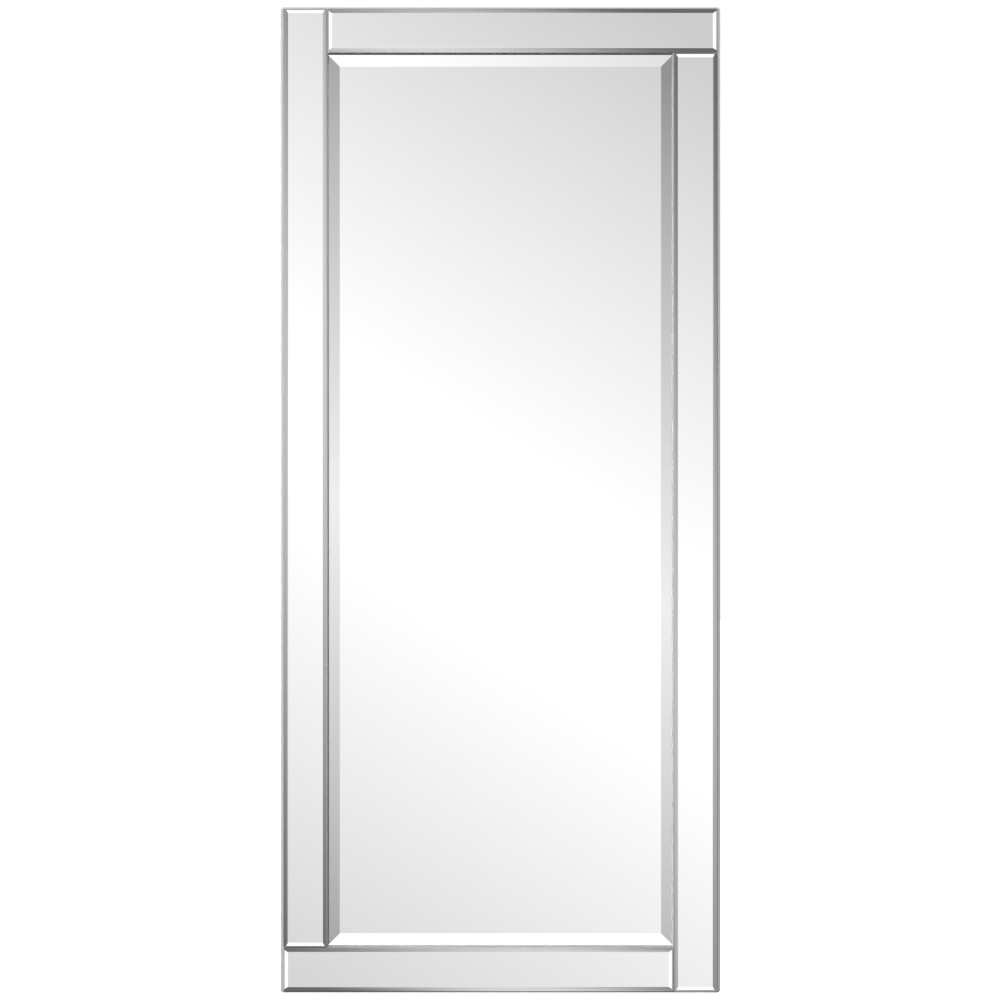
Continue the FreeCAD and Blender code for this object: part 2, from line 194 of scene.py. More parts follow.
def sprayed_pine(wood, grain_axis):
    """Planed pine, sprayed silver on its front and edges. The eye gets a satin silver line round the glass,
    and bare grain with a drift of overspray behind."""
    ring_width = 4 * MM
    ring_run = 330 * MM
    # Fibres and spray droplets are coarser than real ones, so that they show
    fibre_width = 0.5 * MM
    fibre_run = 18 * MM
    droplet_width = 0.4 * MM
    coat_metallic = 0.35
    coat_roughness = 0.42
    bare_roughness = 0.62
    fibre_share = 0.5

    material, tree = new_material("sprayed pine along " + grain_axis)
    place = add(tree, "ShaderNodeTexCoord").outputs["Object"]
    point = add(tree, "ShaderNodeSeparateXYZ", {"Vector": place})

    # Growth rings and fibres are drawn out along the member
    along = "XYZ".index(grain_axis)
    ring_scale = [1 / ring_width] * 3
    ring_scale[along] = 1 / ring_run
    ring_place = add(tree, "ShaderNodeMapping", {"Vector": place, "Scale": ring_scale})
    rings = add(tree, "ShaderNodeTexNoise", {
        "Vector": ring_place.outputs["Vector"], "Scale": 0.55, "Detail": 4.0, "Roughness": 0.55,
        "Distortion": 0.6}).outputs["Fac"]
    fibre_scale = [1 / fibre_width] * 3
    fibre_scale[along] = 1 / fibre_run
    fibre_place = add(tree, "ShaderNodeMapping", {"Vector": place, "Scale": fibre_scale})
    fibre = add(tree, "ShaderNodeTexNoise", {
        "Vector": fibre_place.outputs["Vector"], "Scale": 1.0, "Detail": 2.0}).outputs["Fac"]
    late_wood = add(tree, "ShaderNodeMapRange", {
        "Value": rings, "From Min": 0.40, "From Max": 0.62}, interpolation_type="SMOOTHSTEP")
    bare = add(tree, "ShaderNodeMix", {
        "Factor": late_wood.outputs["Result"], "A": (*wood.pale_colour, 1.0), "B": (*wood.dark_colour, 1.0)},
        data_type="RGBA")
    fibre_shade = add(tree, "ShaderNodeMapRange", {
        "Value": fibre, "From Min": 0.3, "From Max": 0.7, "To Min": 0.86, "To Max": 1.06})
    bare_fibre = add(tree, "ShaderNodeMix", {
        "Factor": 1.0, "A": bare.outputs["Result"], "B": fibre_shade.outputs["Result"]},
        data_type="RGBA", blend_type="MULTIPLY")

    # How far a point lies inside the frame's outline
    across = add(tree, "ShaderNodeMath", {0: point.outputs["X"]}, operation="ABSOLUTE").outputs[0]
    side_depth = add(tree, "ShaderNodeMath", {0: HALF_WIDTH, 1: across}, operation="SUBTRACT").outputs[0]
    upward = add(tree, "ShaderNodeMath", {0: point.outputs["Z"]}, operation="ABSOLUTE").outputs[0]
    end_depth = add(tree, "ShaderNodeMath", {0: HALF_HEIGHT, 1: upward}, operation="SUBTRACT").outputs[0]
    inside = add(tree, "ShaderNodeMath", {0: side_depth, 1: end_depth}, operation="MINIMUM").outputs[0]

    # Silver on the front and the outer edges, and a mist of overspray that thins out over the back
    mist = add(tree, "ShaderNodeTexNoise", {
        "Vector": place, "Scale": 1 / droplet_width, "Detail": 1.0}).outputs["Fac"]
    reach = add(tree, "ShaderNodeMapRange", {
        "Value": inside, "From Min": 0.0, "From Max": wood.overspray,
        "To Min": 1.2, "To Max": 0.1}).outputs[0]
    strayed = add(tree, "ShaderNodeMath", {0: reach, 1: mist}, operation="SUBTRACT").outputs[0]
    strayed = add(tree, "ShaderNodeMapRange", {
        "Value": strayed, "From Min": -0.15, "From Max": 0.25}).outputs[0]
    in_front = add(tree, "ShaderNodeMapRange", {
        "Value": point.outputs["Y"], "From Min": LIP_BACK + 1.6 * MM,
        "From Max": LIP_BACK + 0.4 * MM}).outputs[0]
    silver = add(tree, "ShaderNodeMath", {0: strayed, 1: in_front}, operation="MAXIMUM").outputs[0]
    colour = add(tree, "ShaderNodeMix", {
        "Factor": silver, "A": bare_fibre.outputs["Result"], "B": (*wood.silver_colour, 1.0)},
        data_type="RGBA")

    # Outside the coat went on wet and has a metal sheen; the sight edge got a dry, matt one
    dry = add(tree, "ShaderNodeMapRange", {
        "Value": inside, "From Min": FACE_WIDTH * 0.7, "From Max": FACE_WIDTH * 0.9}).outputs[0]
    wet = add(tree, "ShaderNodeMath", {0: silver, 1: dry}, operation="SUBTRACT", use_clamp=True).outputs[0]
    metallic = add(tree, "ShaderNodeMath", {0: wet, 1: coat_metallic}, operation="MULTIPLY").outputs[0]
    roughness = add(tree, "ShaderNodeMix", {"Factor": silver, "A": bare_roughness, "B": coat_roughness})
    open_grain = add(tree, "ShaderNodeMapRange", {"Value": silver, "To Min": 0.2, "To Max": 0.015})
    relief = add(tree, "ShaderNodeMath", {0: fibre, 1: fibre_share, 2: rings}, operation="MULTIPLY_ADD")
    bump = add(tree, "ShaderNodeBump", {
        "Height": relief.outputs[0], "Strength": open_grain.outputs["Result"], "Distance": 0.2 * MM})
    finish_surface(
        tree, Base_Color=colour.outputs["Result"], Metallic=metallic, Roughness=roughness.outputs["Result"],
        Specular_IOR_Level=0.0, Normal=bump.outputs["Normal"])
    return material


def pressed_fibreboard(backing):
    """Medium fibreboard, hot-pressed between smooth plates. The eye gets an even brown with fine pale
    fibres, faint cloudiness and a dull sheen."""
    cloud_width = 90 * MM
    # Coarser than real fibres, so that they show
    fibre_width = 2 * MM
    cloud_share = 0.2

    material, tree = new_material("pressed fibreboard")
    place = add(tree, "ShaderNodeTexCoord").outputs["Object"]
    cloud = add(tree, "ShaderNodeTexNoise", {
        "Vector": place, "Scale": 1 / cloud_width, "Detail": 4.0, "Roughness": 0.55}).outputs["Fac"]
    fibre = add(tree, "ShaderNodeTexNoise", {
        "Vector": place, "Scale": 1 / fibre_width, "Detail": 6.0, "Roughness": 0.75,
        "Distortion": 1.2}).outputs["Fac"]
    mixed = add(tree, "ShaderNodeMath", {0: cloud, 1: cloud_share, 2: fibre}, operation="MULTIPLY_ADD")
    tone = add(tree, "ShaderNodeMapRange", {
        "Value": mixed.outputs[0], "From Min": 0.35, "From Max": 0.85}).outputs[0]
    colour = add(tree, "ShaderNodeMix", {
        "Factor": tone, "A": (*backing.dark_colour, 1.0), "B": (*backing.pale_colour, 1.0)},
        data_type="RGBA")
    roughness = add(tree, "ShaderNodeMapRange", {
        "Value": cloud, "From Min": 0.3, "From Max": 0.7, "To Min": 0.55, "To Max": 0.7})
    bump = add(tree, "ShaderNodeBump", {"Height": fibre, "Strength": 0.12, "Distance": 0.1 * MM})
    finish_surface(
        tree, Base_Color=colour.outputs["Result"], Roughness=roughness.outputs["Result"],
        Normal=bump.outputs["Normal"])
    return material


def bright_zinc_steel(hardware):
    """Mild steel, pressed or drawn and then bright zinc plated. The eye gets a cool grey metal with a soft,
    slightly clouded gloss."""
    cloud_width = 5 * MM

    material, tree = new_material("bright zinc plated steel")
    place = add(tree, "ShaderNodeTexCoord").outputs["Object"]
    cloud = add(tree, "ShaderNodeTexNoise", {
        "Vector": place, "Scale": 1 / cloud_width, "Detail": 5.0, "Roughness": 0.6}).outputs["Fac"]
    roughness = add(tree, "ShaderNodeMapRange", {
        "Value": cloud, "From Min": 0.3, "From Max": 0.7, "To Min": 0.2, "To Max": 0.36})
    shade = add(tree, "ShaderNodeMapRange", {
        "Value": cloud, "From Min": 0.3, "From Max": 0.75, "To Min": 1.0, "To Max": 0.82})
    colour = add(tree, "ShaderNodeMix", {
        "Factor": 1.0, "A": (*hardware.zinc_colour, 1.0), "B": shade.outputs["Result"]},
        data_type="RGBA", blend_type="MULTIPLY")
    bump = add(tree, "ShaderNodeBump", {"Height": cloud, "Strength": 0.06, "Distance": 0.05 * MM})
    finish_surface(
        tree, Base_Color=colour.outputs["Result"], Metallic=1.0, Roughness=roughness.outputs["Result"],
        Normal=bump.outputs["Normal"])
    return material


def moulded_rubber(hardware):
    """Black synthetic rubber, moulded in a spark-eroded tool. The eye gets a dull near-black with a fine
    grain."""
    # Coarser than the grain of a real tool, so that it shows
    grain_width = 0.6 * MM
    dust_width = 6 * MM

    material, tree = new_material("moulded rubber")
    place = add(tree, "ShaderNodeTexCoord").outputs["Object"]
    grain = add(tree, "ShaderNodeTexNoise", {"Vector": place, "Scale": 1 / grain_width, "Detail": 3.0})
    dust = add(tree, "ShaderNodeTexNoise", {"Vector": place, "Scale": 1 / dust_width, "Detail": 4.0})
    tone = add(tree, "ShaderNodeMapRange", {
        "Value": dust.outputs["Fac"], "From Min": 0.35, "From Max": 0.75, "To Min": 0.8, "To Max": 1.7})
    colour = add(tree, "ShaderNodeMix", {
        "Factor": 1.0, "A": (*hardware.rubber_colour, 1.0), "B": tone.outputs["Result"]},
        data_type="RGBA", blend_type="MULTIPLY")
    bump = add(tree, "ShaderNodeBump", {
        "Height": grain.outputs["Fac"], "Strength": 0.25, "Distance": 0.08 * MM})
    finish_surface(
        tree, Base_Color=colour.outputs["Result"], Roughness=0.68, Normal=bump.outputs["Normal"])
    return material


def closed_cell_foam(backing):
    """Closed-cell foam, skived from a block. The eye gets a dark matt grey with open cells on its cut
    faces, each darkened towards its hollow middle as painted shade."""
    cell_width = 0.9 * MM

    material, tree = new_material("closed cell foam")
    place = add(tree, "ShaderNodeTexCoord").outputs["Object"]
    cells = add(tree, "ShaderNodeTexVoronoi", {
        "Vector": place, "Scale": 1 / cell_width}).outputs["Distance"]
    # Painted shade: the colour darkens towards the middle of each cut cell, where the bump makes a hollow
    tone = add(tree, "ShaderNodeMapRange", {
        "Value": cells, "From Min": 0.0, "From Max": 0.8, "To Min": 0.6, "To Max": 1.2})
    colour = add(tree, "ShaderNodeMix", {
        "Factor": 1.0, "A": (*backing.foam_colour, 1.0), "B": tone.outputs["Result"]},
        data_type="RGBA", blend_type="MULTIPLY")
    bump = add(tree, "ShaderNodeBump", {"Height": cells, "Strength": 0.5, "Distance": 0.2 * MM})
    finish_surface(
        tree, Base_Color=colour.outputs["Result"], Roughness=0.9, Normal=bump.outputs["Normal"])
    return material


def white_paper_sweep(studio):
    """Matt white paper sweep, lit to the edge of white. The eye gets a plain pale ground with soft shade."""
    # Far coarser than paper's own tooth, so that it shows
    tooth_width = 400 * MM
    paper_colour = linear("F7F7F7")
    shaded_colour = linear("303030")

    material, tree = new_material("white paper sweep")
    place = add(tree, "ShaderNodeTexCoord").outputs["Object"]
    tooth = add(tree, "ShaderNodeTexNoise", {"Vector": place, "Scale": 1 / tooth_width})
    shade = add(tree, "ShaderNodeMapRange", {
        "Value": tooth.outputs["Fac"], "To Min": 0.985, "To Max": 1.0})
    colour = add(tree, "ShaderNodeMix", {
        "Factor": 1.0, "A": paper_colour, "B": shade.outputs["Result"]},
        data_type="RGBA", blend_type="MULTIPLY")
    # It gives matt surfaces little light back, so that the mirror's undersides stay in shade
    scattered = add(tree, "ShaderNodeLightPath").outputs["Diffuse Depth"]
    seen = add(tree, "ShaderNodeMath", {0: scattered, 1: ANY_BOUNCE}, operation="LESS_THAN").outputs[0]
    glow = add(tree, "ShaderNodeMath", {0: seen, 1: studio.floor_glow}, operation="MULTIPLY")
    shown = add(tree, "ShaderNodeMix", {
        "Factor": seen, "A": shaded_colour, "B": colour.outputs["Result"]}, data_type="RGBA")
    paper = add(tree, "ShaderNodeBsdfPrincipled", {
        "Base Color": shown.outputs["Result"], "Roughness": 0.9, "Emission Color": linear("FFFFFF"),
        "Emission Strength": glow.outputs[0]})
    # From below the sweep is clear, so that it doesn't hide the mirror
    under = add(tree, "ShaderNodeNewGeometry").outputs["Backfacing"]
    clear = add(tree, "ShaderNodeBsdfTransparent")
    sweep = add(tree, "ShaderNodeMixShader", {0: under, 1: paper.outputs[0], 2: clear.outputs[0]})
    add(tree, "ShaderNodeOutputMaterial", {"Surface": sweep.outputs[0]})
    return material


# Studio, laid out by direction. Places on the wall ahead are tangents of the angle across (X) and up (Z)

def off_line(tree, wall, fall, offset):
    """How far a direction lies from a line on the wall, as a tangent. The line falls to the right."""
    height = add(tree, "ShaderNodeVectorMath", {
        0: wall, 1: (fall, 0, 1)}, operation="DOT_PRODUCT").outputs["Value"]
    height = add(tree, "ShaderNodeMath", {0: height, 1: offset}, operation="ADD").outputs[0]
    return add(tree, "ShaderNodeMath", {0: height}, operation="ABSOLUTE").outputs[0]


def wall_ahead(tree, studio, wall, spot, apart, reach):
    """Tone of the white wall that the mirror faces, with two grey flags in front of it."""
    # Diagonal fall-off across the middle of the wall, and plain white round it
    middle = add(tree, "ShaderNodeMapRange", {
        "Value": off_line(tree, wall, fall=0.62, offset=0.009), "From Min": 0.0, "From Max": 0.115,
        "To Min": 1.203, "To Max": 0.671}).outputs[0]
    edge = add(tree, "ShaderNodeMapRange", {
        "Value": reach, "From Min": 0.12, "From Max": 0.2}, interpolation_type="SMOOTHSTEP").outputs[0]
    tone = add(tree, "ShaderNodeMix", {"Factor": edge, "A": middle, "B": studio.wall_level}).outputs[0]

    # A band over the middle dims to the right
    band_height = 0.33
    dimmed = add(tree, "ShaderNodeMapRange", {
        "Value": spot["X"], "From Min": -0.024, "From Max": 0.036, "To Min": studio.wall_level,
        "To Max": 0.81}).outputs[0]
    height = add(tree, "ShaderNodeMath", {0: spot["Z"], 1: band_height}, operation="SUBTRACT").outputs[0]
    height = add(tree, "ShaderNodeMath", {0: height}, operation="ABSOLUTE").outputs[0]
    band = add(tree, "ShaderNodeMapRange", {
        "Value": height, "From Min": 0.06, "From Max": 0.13, "To Min": 1.0, "To Max": 0.0},
        interpolation_type="SMOOTHSTEP").outputs[0]
    tone = add(tree, "ShaderNodeMix", {"Factor": band, "A": tone, "B": dimmed}).outputs[0]

    # Upright flags on either side, lightest at about the mirror's height
    flag = add(tree, "ShaderNodeMapRange", {
        "Value": off_line(tree, wall, fall=0.0375, offset=0.01), "From Min": 0.0, "From Max": 0.1,
        "To Min": 0.96, "To Max": 0.32}).outputs[0]
    inner = add(tree, "ShaderNodeMapRange", {
        "Value": apart["X"], "From Min": 0.17, "From Max": 0.22},
        interpolation_type="SMOOTHSTEP").outputs[0]
    outer = add(tree, "ShaderNodeMapRange", {
        "Value": apart["X"], "From Min": 0.46, "From Max": 0.36},
        interpolation_type="SMOOTHSTEP").outputs[0]
    ends = add(tree, "ShaderNodeMapRange", {
        "Value": apart["Z"], "From Min": 0.24, "From Max": 0.15},
        interpolation_type="SMOOTHSTEP").outputs[0]
    cover = add(tree, "ShaderNodeMath", {0: inner, 1: outer}, operation="MULTIPLY").outputs[0]
    cover = add(tree, "ShaderNodeMath", {0: cover, 1: ends}, operation="MULTIPLY").outputs[0]
    return add(tree, "ShaderNodeMix", {"Factor": cover, "A": tone, "B": flag}).outputs[0]


def dim_room(tree, studio, spot, apart):
    """Tone of the room past the wall: dim, with a bent glow level with the mirror on either side, and a
    slanting one over and under it."""
    # The level glow runs on outwards, and bends up on one side and down on the other
    side = add(tree, "ShaderNodeMath", {0: spot["X"]}, operation="SIGN").outputs[0]
    bend = add(tree, "ShaderNodeMapRange", {
        "Value": apart["X"], "From Min": 1.15, "From Max": 1.3,
        "To Min": -0.054, "To Max": 0.045}).outputs[0]
    bend = add(tree, "ShaderNodeMath", {0: side, 1: bend}, operation="MULTIPLY").outputs[0]
    bent = add(tree, "ShaderNodeMath", {0: spot["Z"], 1: bend}, operation="ADD").outputs[0]
    bent = add(tree, "ShaderNodeMath", {0: bent}, operation="ABSOLUTE").outputs[0]
    bright = add(tree, "ShaderNodeMapRange", {
        "Value": apart["X"], "From Min": 1.15, "From Max": 1.3,
        "To Min": 0.475, "To Max": 0.38}).outputs[0]
    bright = add(tree, "ShaderNodeMath", {0: bright, 1: bend}, operation="SUBTRACT").outputs[0]
    level = add(tree, "ShaderNodeMapRange", {
        "Value": bent, "From Min": 0.2, "From Max": 0.0, "To Max": bright},
        interpolation_type="SMOOTHSTEP").outputs[0]

    # The upright glow crosses the middle at the same height over and under the mirror
    crossing = 1.24
    lean = 0.06
    offset = 0.006
    half = add(tree, "ShaderNodeMath", {0: spot["Z"]}, operation="SIGN").outputs[0]
    slant = add(tree, "ShaderNodeMath", {
        0: half, 1: -crossing, 2: spot["Z"]}, operation="MULTIPLY_ADD").outputs[0]
    slant = add(tree, "ShaderNodeMath", {
        0: slant, 1: lean, 2: spot["X"]}, operation="MULTIPLY_ADD").outputs[0]
    slant = add(tree, "ShaderNodeMath", {0: slant, 1: offset}, operation="ADD").outputs[0]
    slant = add(tree, "ShaderNodeMath", {0: slant}, operation="ABSOLUTE").outputs[0]
    bright = add(tree, "ShaderNodeMapRange", {
        "Value": spot["Z"], "From Min": 0.9, "From Max": 1.5, "To Min": 0.6, "To Max": 0.34}).outputs[0]
    upright = add(tree, "ShaderNodeMapRange", {
        "Value": slant, "From Min": 0.07, "From Max": 0.0, "To Max": bright},
        interpolation_type="SMOOTHSTEP").outputs[0]
    glow = add(tree, "ShaderNodeMath", {0: upright, 1: level}, operation="ADD").outputs[0]
    return add(tree, "ShaderNodeMath", {0: glow, 1: studio.room_level}, operation="ADD").outputs[0]


def slanting_bands(tree, tone, wall, apart):
    """Lays soft diagonal bands over a tone, off the level and the upright, where only slanting views see
    them."""
    pitch = (7.0, 0, 14.0)
    slope = add(tree, "ShaderNodeVectorMath", {
        0: wall, 1: pitch}, operation="DOT_PRODUCT").outputs["Value"]
    wave = add(tree, "ShaderNodeMath", {0: slope}, operation="SINE").outputs[0]
    banded = add(tree, "ShaderNodeMapRange", {
        "Value": wave, "From Min": -1.0, "From Max": 1.0, "To Min": 0.5, "To Max": 1.05}).outputs[0]
    aside = add(tree, "ShaderNodeMapRange", {
        "Value": apart["X"], "From Min": 0.08, "From Max": 0.18},
        interpolation_type="SMOOTHSTEP").outputs[0]
    astride = add(tree, "ShaderNodeMapRange", {
        "Value": apart["Z"], "From Min": 0.15, "From Max": 0.26},
        interpolation_type="SMOOTHSTEP").outputs[0]
    slanting = add(tree, "ShaderNodeMath", {0: aside, 1: astride}, operation="MULTIPLY").outputs[0]
    return add(tree, "ShaderNodeMix", {"Factor": slanting, "A": tone, "B": banded}).outputs[0]


def studio_world(studio):
    """A white studio as the mirror sees it: a white wall in front of it, a dim room past the wall, and
    another room behind. The camera sees plain white."""
    forward = (0, -1, 0)
    least_ahead = 0.02
    wall_stretch = (1, 0, 1.1)
    white = linear("FFFFFF")

    world = bpy.data.worlds.new("white studio")
    world.use_nodes = True
    tree = world.node_tree
    tree.nodes.clear()
    way = add(tree, "ShaderNodeTexCoord").outputs["Generated"]
    overhead = add(tree, "ShaderNodeSeparateXYZ", {0: way}).outputs["Z"]
    ahead = add(tree, "ShaderNodeVectorMath", {
        0: way, 1: forward}, operation="DOT_PRODUCT").outputs["Value"]
    depth = add(tree, "ShaderNodeMath", {0: ahead, 1: least_ahead}, operation="MAXIMUM").outputs[0]
    wall = add(tree, "ShaderNodeVectorMath", {0: way, 1: depth}, operation="DIVIDE").outputs[0]
    spot = add(tree, "ShaderNodeSeparateXYZ", {0: wall}).outputs
    apart = add(tree, "ShaderNodeVectorMath", {0: wall}, operation="ABSOLUTE").outputs[0]
    apart = add(tree, "ShaderNodeSeparateXYZ", {0: apart}).outputs
    oval = add(tree, "ShaderNodeVectorMath", {0: wall, 1: wall_stretch}, operation="MULTIPLY").outputs[0]
    reach = add(tree, "ShaderNodeVectorMath", {0: oval}, operation="LENGTH").outputs["Value"]

    # The wall in front, and the room past it
    tone = wall_ahead(tree, studio, wall, spot, apart, reach)
    room = dim_room(tree, studio, spot, apart)
    past = add(tree, "ShaderNodeMapRange", {
        "Value": reach, "From Min": 0.8, "From Max": 1.1}, interpolation_type="SMOOTHSTEP").outputs[0]
    tone = add(tree, "ShaderNodeMix", {"Factor": past, "A": tone, "B": room}).outputs[0]
    tone = slanting_bands(tree, tone, wall, apart)

    # Matt surfaces get little light from low in front, so that undersides stay in shade
    low = add(tree, "ShaderNodeMapRange", {
        "Value": overhead, "From Min": -0.2, "From Max": 0.4, "To Min": 0.05},
        interpolation_type="SMOOTHSTEP").outputs[0]
    scattered = add(tree, "ShaderNodeLightPath").outputs["Diffuse Depth"]
    matt = add(tree, "ShaderNodeMath", {0: scattered, 1: ANY_BOUNCE}, operation="GREATER_THAN").outputs[0]
    shade = add(tree, "ShaderNodeMix", {"Factor": matt, "A": 1.0, "B": low}).outputs[0]
    tone = add(tree, "ShaderNodeMath", {0: tone, 1: shade}, operation="MULTIPLY").outputs[0]

    # Behind the mirror the room is pale overhead and darker below
    rear = add(tree, "ShaderNodeMapRange", {
        "Value": overhead, "From Min": -0.5, "From Max": 0.7, "To Min": studio.rear_level * 0.4,
        "To Max": studio.rear_level * 1.6}, interpolation_type="SMOOTHSTEP").outputs[0]
    behind = add(tree, "ShaderNodeMapRange", {
        "Value": ahead, "From Min": 0.3, "From Max": -0.2}, interpolation_type="SMOOTHSTEP").outputs[0]
    tone = add(tree, "ShaderNodeMix", {"Factor": behind, "A": tone, "B": rear}).outputs[0]

    lit = add(tree, "ShaderNodeBackground", {"Color": white, "Strength": tone})
    plain = add(tree, "ShaderNodeBackground", {"Color": white, "Strength": studio.backdrop_level})
    seen = add(tree, "ShaderNodeLightPath").outputs["Is Camera Ray"]
    both = add(tree, "ShaderNodeMixShader", {0: seen, 1: lit.outputs[0], 2: plain.outputs[0]})
    add(tree, "ShaderNodeOutputWorld", {"Surface": both.outputs[0]})
    return world


def soft_light(name, place, target, size, power, beam=180, mirrored=False):
    """A square lamp with a beam of some degrees. Metal and glass show it only if it is mirrored."""
    lamp = bpy.data.lights.new(name, "AREA")
    lamp.size = size
    lamp.energy = power
    lamp.spread = math.radians(beam)
    lamp_object = bpy.data.objects.new(name, lamp)
    lamp_object.location = place
    lamp_object.rotation_euler = (Vector(target) - Vector(place)).to_track_quat("-Z", "Y").to_euler()
    lamp_object.visible_glossy = mirrored
    bpy.context.scene.collection.objects.link(lamp_object)


def photograph_camera(studio):
    """A long lens square to the mirror, at the distance where the outline fills its share of the frame."""
    camera = bpy.data.cameras.new("front camera")
    camera.lens = studio.focal_length
    frame_height = (CAD_BOX[1].z - CAD_BOX[0].z) * IMAGE_PIXELS / OUTLINE_PIXELS_HIGH
    distance = frame_height * camera.lens / camera.sensor_width
    pixel = frame_height / IMAGE_PIXELS
    camera_object = bpy.data.objects.new("front camera", camera)
    camera_object.location = (
        (IMAGE_PIXELS / 2 - OUTLINE_CENTRE_PIXEL[0]) * pixel,
        FRAME_FRONT - distance,
        (OUTLINE_CENTRE_PIXEL[1] - IMAGE_PIXELS / 2) * pixel)
    camera_object.rotation_euler = (math.radians(90), 0, 0)
    bpy.context.scene.collection.objects.link(camera_object)
    bpy.context.scene.camera = camera_object


# Meshes

def new_piece(name, mesh_maker, material, slot, *nodes, crease=None):
    """Makes a piece from a bmesh function, puts it in place of CAD nodes and lets it ride with the mirror.
    Edges that turn by more than the crease angle are sharp, and without one they are as the function marks
    them."""
    shape = bmesh.new()
    mesh_maker(shape)
    bmesh.ops.recalc_face_normals(shape, faces=shape.faces)
    mesh = bpy.data.meshes.new(name)
    shape.to_mesh(mesh)
    shape.free()
    piece = bpy.data.objects.new(name, mesh)
    bpy.context.scene.collection.objects.link(piece)
    mesh.materials.append(material)
    mesh.shade_smooth()
    if crease:
        mesh.set_sharp_from_angle(angle=math.radians(crease))
    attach(piece, "mirror")
    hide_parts(*nodes)


def solids_of(name):
    """The separate solids of a CAD node, each as its lowest and highest corner."""
    shape = bmesh.new()
    shape.from_mesh(NODES[name].data)
    bmesh.ops.remove_doubles(shape, verts=shape.verts, dist=SAME_POINT)
    left = set(shape.verts)
    boxes = []
    while left:
        group = [left.pop()]
        for vert in group:
            near = {edge.other_vert(vert) for edge in vert.link_edges} & left
            left -= near
            group += near
        places = [vert.co.copy() for vert in group]
        low = Vector(min(p[i] for p in places) for i in range(3))
        high = Vector(max(p[i] for p in places) for i in range(3))
        boxes.append((low, high))
    shape.free()
    return sorted(boxes, key=lambda corners: tuple(corners[0]))


def ring_of(shape, centre, radius, depth, sides):
    """A ring of vertices about an axis along Y."""
    turn = 2 * math.pi / sides
    verts = []
    for i in range(sides):
        x = centre.x + radius * math.cos(i * turn)
        z = centre.z + radius * math.sin(i * turn)
        verts.append(shape.verts.new((x, depth, z)))
    return verts


def bridge(shape, first, second):
    """Faces between two loops of as many vertices."""
    for i, vert in enumerate(first):
        j = (i + 1) % len(first)
        shape.faces.new((vert, first[j], second[j], second[i]))


def turned(shape, centre, profile, sides):
    """A turned shape about an axis along Y, from (radius, depth) pairs. It is closed at its first end, and
    its last loop is given back."""
    loops = [ring_of(shape, centre, radius, depth, sides) for radius, depth in profile]
    for first, second in zip(loops, loops[1:]):
        bridge(shape, first, second)
    shape.faces.new(loops[0])
    return loops[-1]


def cross_recess(shape, centre, rim, level, head):
    """Closes a screw head of some radius with a cross recess: a flat face round a tapered cross."""
    arm = head * 0.55
    half_slot = head * 0.12
    sink = head * 0.5
    floor_arm = arm * 0.55
    floor_half_slot = half_slot * 0.7

    def cross(reach, half, depth):
        """A cross of vertices, turned on from one quarter."""
        quarter = [(reach, half), (half, half), (half, reach)]
        outline = []
        for _ in range(4):
            outline += quarter
            quarter = [(-z, x) for x, z in quarter]
        return [shape.verts.new((centre.x + x, depth, centre.z + z)) for x, z in outline]

    mouth = cross(arm, half_slot, level)
    floor = cross(floor_arm, floor_half_slot, level - sink)
    bridge(shape, mouth, floor)
    shape.faces.new(floor)
    edges = {edge for loop in (rim, mouth) for vert in loop for edge in vert.link_edges
             if edge.other_vert(vert) in loop}
    bmesh.ops.triangle_fill(shape, edges=list(edges), use_beauty=True)


def wood_screw(shape, low, high, sides):
    """A countersunk wood screw in the box of its CAD solid: a point, a thread, a plain neck and a head with
    a cross recess."""
    centre = (low + high) / 2
    head = (high.x - low.x) / 2
    shank = head / 2
    point = shank * 0.3
    thread_root = shank * 0.72
    neck = shank * 0.8
    point_length = 2 * MM
    neck_length = 3 * MM
    thread_pitch = 1.4 * MM
    crest = 0.5 * MM
    valley = 1.0 * MM
    head_land = 0.25 * MM
    head_arris = 0.12 * MM

    head_start = high.y - (head - shank)
    level = low.y + point_length
    profile = [(point, low.y), (neck, level)]
    while level < head_start - neck_length:
        profile += [(shank, level + crest), (thread_root, level + valley)]
        level += thread_pitch
    profile += [(neck, head_start), (head, high.y - head_land), (head - head_arris, high.y)]
    rim = turned(shape, centre, profile, sides)
    cross_recess(shape, centre, rim, high.y, head)


def wall_bumper(shape, low, high, sides):
    """A round bumper in the box of its CAD solid, with a rounded rim towards the wall."""
    centre = (low + high) / 2
    radius = (high.x - low.x) / 2
    rim = 1.2 * MM
    rim_steps = 6
    foot_inset = 0.2 * MM
    foot_height = 0.3 * MM

    profile = [(radius - foot_inset, low.y), (radius, low.y + foot_height)]
    for step in range(rim_steps + 1):
        angle = math.radians(90 * step / rim_steps)
        reach = radius - rim + rim * math.cos(angle)
        profile.append((reach, high.y - rim + rim * math.sin(angle)))
    shape.faces.new(turned(shape, centre, profile, sides))


